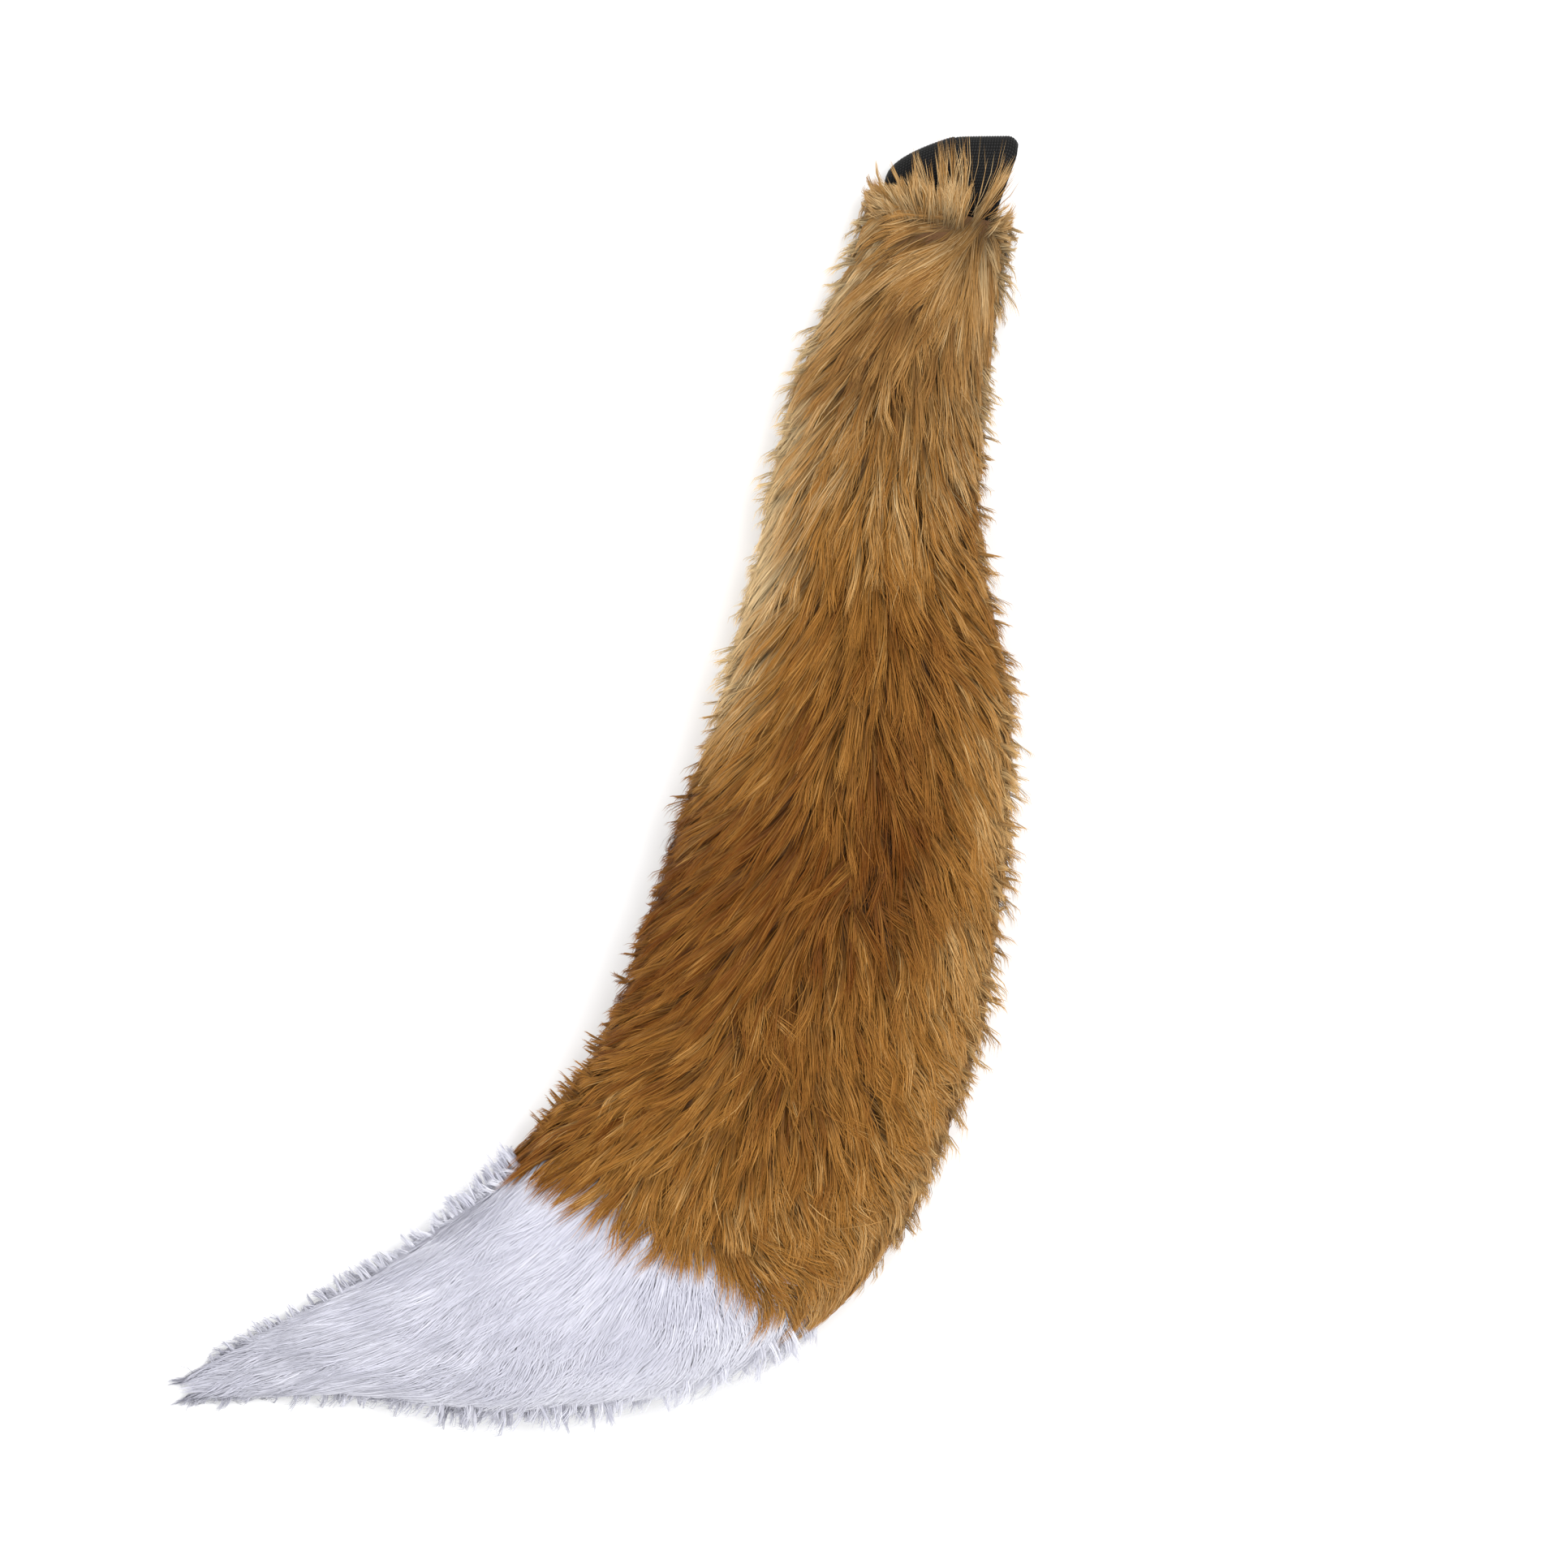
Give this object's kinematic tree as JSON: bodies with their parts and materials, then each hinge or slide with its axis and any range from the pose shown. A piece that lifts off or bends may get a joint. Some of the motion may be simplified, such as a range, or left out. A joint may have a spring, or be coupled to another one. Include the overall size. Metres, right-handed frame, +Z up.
{
  "type": "costume animal tail",
  "caption": "Costume animal tail of long tan faux fur with a white tip and two black webbing belt loops at the top.",
  "frame": {"origin": "on the surface that the tail lies on, under the middle of its box", "axes": "+Z up from the surface; +Y along the surface towards the belt loops; +X to the outer side of the tail's bend"},
  "size_m": [0.337, 0.5122, 0.089],
  "materials": {
    "tan_fur": "long pile",
    "white_fur": "long pile",
    "black_webbing": "ribbed weave"
  },
  "bodies": {
    "root": {"tan_fur_body": "tan_fur", "white_fur_tip": "white_fur", "belt_loop_left": "black_webbing", "belt_loop_right": "black_webbing"}
  },
  "joints": []
}
